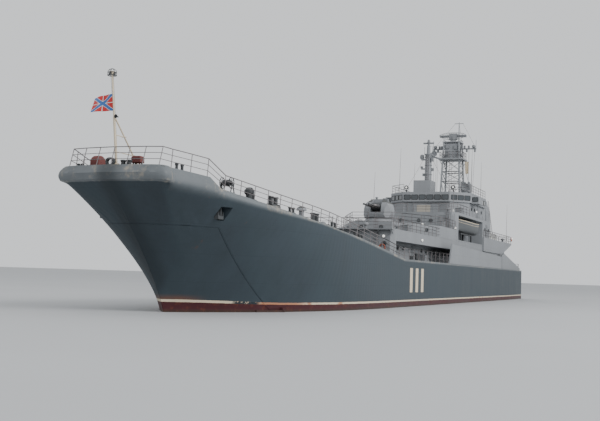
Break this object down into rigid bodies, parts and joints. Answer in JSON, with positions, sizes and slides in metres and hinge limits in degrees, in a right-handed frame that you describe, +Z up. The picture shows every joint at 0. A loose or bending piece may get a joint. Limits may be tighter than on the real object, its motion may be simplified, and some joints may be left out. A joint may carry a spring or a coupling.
{
  "type": "military landing ship with bow doors, 1:10 scale model",
  "caption": "Scale model of a beaching landing ship: hinged bow doors over a folded ramp, stern gate, turreted guns, long deckhouses, boats, masts and funnels.",
  "frame": {"origin": "centre of the model's box, on the flat bottom; the waterline is at z = 0.37 m", "axes": "+X towards the bow, +Y to port, +Z up"},
  "size_m": [11.25, 1.5, 3.11],
  "materials": {
    "hull_paint": "weathered dark grey-green hull paint",
    "superstructure_paint": "matt mid grey paint",
    "dark_gear": "dark worn paint",
    "buff_paint": "pale cream paint",
    "canvas_cover": "brown canvas cover",
    "flag_cloth": "woven flag cloth",
    "underwater_paint": "dull red underwater paint",
    "bronze": "cast propeller bronze"
  },
  "bodies": {
    "ship": {"hull": "hull_paint", "bulwark_port": "hull_paint", "bulwark_starboard": "hull_paint", "quarter_bulwark_port": "superstructure_paint", "quarter_bulwark_starboard": "superstructure_paint", "lower_deckhouse": "superstructure_paint", "gun_house": "superstructure_paint", "main_deckhouse": "superstructure_paint", "bridge": "superstructure_paint", "fore_gun_ring": "superstructure_paint", "aft_gun_ring": "superstructure_paint", "foremast": "superstructure_paint", "main_mast": "superstructure_paint", "topmast": "superstructure_paint", "funnel_port": "superstructure_paint", "funnel_starboard": "superstructure_paint", "boat_port": "superstructure_paint", "boat_starboard": "superstructure_paint", "davits_port": "dark_gear", "davits_starboard": "dark_gear", "aft_gun_deck": "superstructure_paint", "jackstaff": "buff_paint", "jack_flag": "flag_cloth", "signal_flag": "flag_cloth", "ensign_staff": "buff_paint", "anchor_port": "dark_gear", "anchor_starboard": "dark_gear", "windlass": "dark_gear", "stern_winch": "dark_gear", "cable_reel": "canvas_cover", "locker": "canvas_cover", "wire_reel": "dark_gear", "cowl": "dark_gear", "bollards_port": "dark_gear", "bollards_starboard": "dark_gear", "vent_port": "superstructure_paint", "vent_starboard": "superstructure_paint", "bilge_keel_port": "underwater_paint", "bilge_keel_starboard": "underwater_paint", "shaft_port": "underwater_paint", "shaft_starboard": "underwater_paint", "raft_rack_port": "superstructure_paint", "raft_rack_starboard": "superstructure_paint", "gun_director": "superstructure_paint"},
    "bow_door_port": {"bow_door_port": "hull_paint"},
    "bow_door_starboard": {"bow_door_starboard": "hull_paint"},
    "bow_ramp": {"bow_ramp": "dark_gear"},
    "stern_gate": {"stern_gate": "hull_paint"},
    "hatch_cover": {"hatch_cover": "hull_paint"},
    "fore_turret": {"fore_turret": "superstructure_paint"},
    "fore_guns": {"fore_guns": "dark_gear"},
    "aft_turret": {"aft_turret": "superstructure_paint"},
    "aft_guns": {"aft_guns": "dark_gear"},
    "nav_radar": {"nav_radar": "dark_gear"},
    "search_radar": {"search_radar": "dark_gear"},
    "propeller_port": {"propeller_port": "bronze"},
    "propeller_starboard": {"propeller_starboard": "bronze"},
    "rudder_port": {"rudder_port": "underwater_paint"},
    "rudder_starboard": {"rudder_starboard": "underwater_paint"}
  },
  "joints": [
    {"name": "bow_door_port_hinge", "type": "hinge", "parent": "ship", "child": "bow_door_port", "pos_m": [3.985, 0.522, 0.37], "axis": [0, 0, 1], "range_deg": [0, 90]},
    {"name": "bow_door_starboard_hinge", "type": "hinge", "parent": "ship", "child": "bow_door_starboard", "pos_m": [3.985, -0.522, 0.37], "axis": [0, 0, 1], "range_deg": [-90, 0]},
    {"name": "bow_ramp_hinge", "type": "hinge", "parent": "ship", "child": "bow_ramp", "pos_m": [4.20943, 0, 0.44503], "axis": [0, 1, 0], "range_deg": [0, 41]},
    {"name": "stern_gate_hinge", "type": "hinge", "parent": "ship", "child": "stern_gate", "pos_m": [-5.61, 0, 0.442], "axis": [0, -1, 0], "range_deg": [0, 95]},
    {"name": "hatch_cover_hinge", "type": "hinge", "parent": "ship", "child": "hatch_cover", "pos_m": [1.78, 0, 1.035], "axis": [0, -1, 0], "range_deg": [0, 80]},
    {"name": "fore_turret_train", "type": "hinge", "parent": "ship", "child": "fore_turret", "pos_m": [0.1, 0, 1.335], "axis": [0, 0, 1], "range_deg": [-150, 150]},
    {"name": "fore_guns_elevate", "type": "hinge", "parent": "fore_turret", "child": "fore_guns", "pos_m": [0.175, 0, 1.476], "axis": [0, -1, 0], "range_deg": [-5, 80]},
    {"name": "aft_turret_train", "type": "hinge", "parent": "ship", "child": "aft_turret", "pos_m": [-4.45, 0, 1.315], "axis": [0, 0, 1], "range_deg": [-120, 120]},
    {"name": "aft_guns_elevate", "type": "hinge", "parent": "aft_turret", "child": "aft_guns", "pos_m": [-4.525, 0, 1.461], "axis": [0, 1, 0], "range_deg": [-5, 80]},
    {"name": "nav_radar_spin", "type": "hinge", "parent": "ship", "child": "nav_radar", "pos_m": [-2.12, -0.018, 2.5205], "axis": [0, 0, 1], "continuous": true},
    {"name": "search_radar_spin", "type": "hinge", "parent": "ship", "child": "search_radar", "pos_m": [-3.48, 0, 2.7605], "axis": [0, 0, 1], "continuous": true},
    {"name": "propeller_port_spin", "type": "hinge", "parent": "ship", "child": "propeller_port", "pos_m": [-5.15, 0.32, 0.098], "axis": [1, 0, 0], "continuous": true},
    {"name": "propeller_starboard_spin", "type": "hinge", "parent": "ship", "child": "propeller_starboard", "pos_m": [-5.15, -0.32, 0.098], "axis": [1, 0, 0], "continuous": true},
    {"name": "rudder_port_turn", "type": "hinge", "parent": "ship", "child": "rudder_port", "pos_m": [-5.35, 0.32, 0.22], "axis": [0, 0, 1], "range_deg": [-35, 35]},
    {"name": "rudder_starboard_turn", "type": "hinge", "parent": "ship", "child": "rudder_starboard", "pos_m": [-5.35, -0.32, 0.22], "axis": [0, 0, 1], "range_deg": [-35, 35]}
  ],
  "couplings": [
    {"joint": "bow_door_starboard_hinge", "follows": "bow_door_port_hinge", "ratio": -1},
    {"joint": "bow_ramp_hinge", "follows": "bow_door_port_hinge", "ratio": 0.4555},
    {"joint": "rudder_starboard_turn", "follows": "rudder_port_turn", "ratio": 1}
  ]
}
